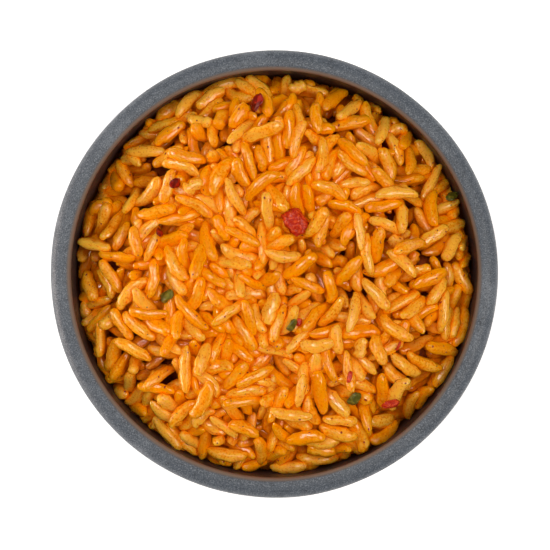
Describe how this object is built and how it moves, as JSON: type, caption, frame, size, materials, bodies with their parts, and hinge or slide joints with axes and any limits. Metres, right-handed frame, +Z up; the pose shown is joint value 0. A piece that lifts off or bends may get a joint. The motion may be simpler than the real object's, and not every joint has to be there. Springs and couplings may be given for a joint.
{
  "type": "bowl of seasoned rice",
  "caption": "Small dark stoneware bowl filled over the rim with a domed heap of seasoned long-grain rice, with a piece of diced tomato in it, seen as a side dish.",
  "frame": {"origin": "centre of the foot ring's flat face, which is the middle of the bottom of the bounding box", "axes": "+Z up, along the bowl's axis; +Y towards the top of the picture, which looks straight down into the bowl, and +X to its right"},
  "size_m": [0.108, 0.108, 0.0576],
  "materials": {
    "stoneware": "slate grey satin-matte glazed stoneware with fine darker and lighter speckles",
    "cooked_rice": "moist cooked long-grain rice, translucent, stained orange by its seasoning",
    "tomato": "wet red cooked tomato flesh",
    "pepper": "cooked green pepper and herb, dull olive green, wet",
    "spice": "dark red-brown ground spice and chilli flakes"
  },
  "bodies": {
    "root": {"bowl": "stoneware", "rice_heap": "cooked_rice", "tomato_piece": "tomato"}
  },
  "joints": []
}
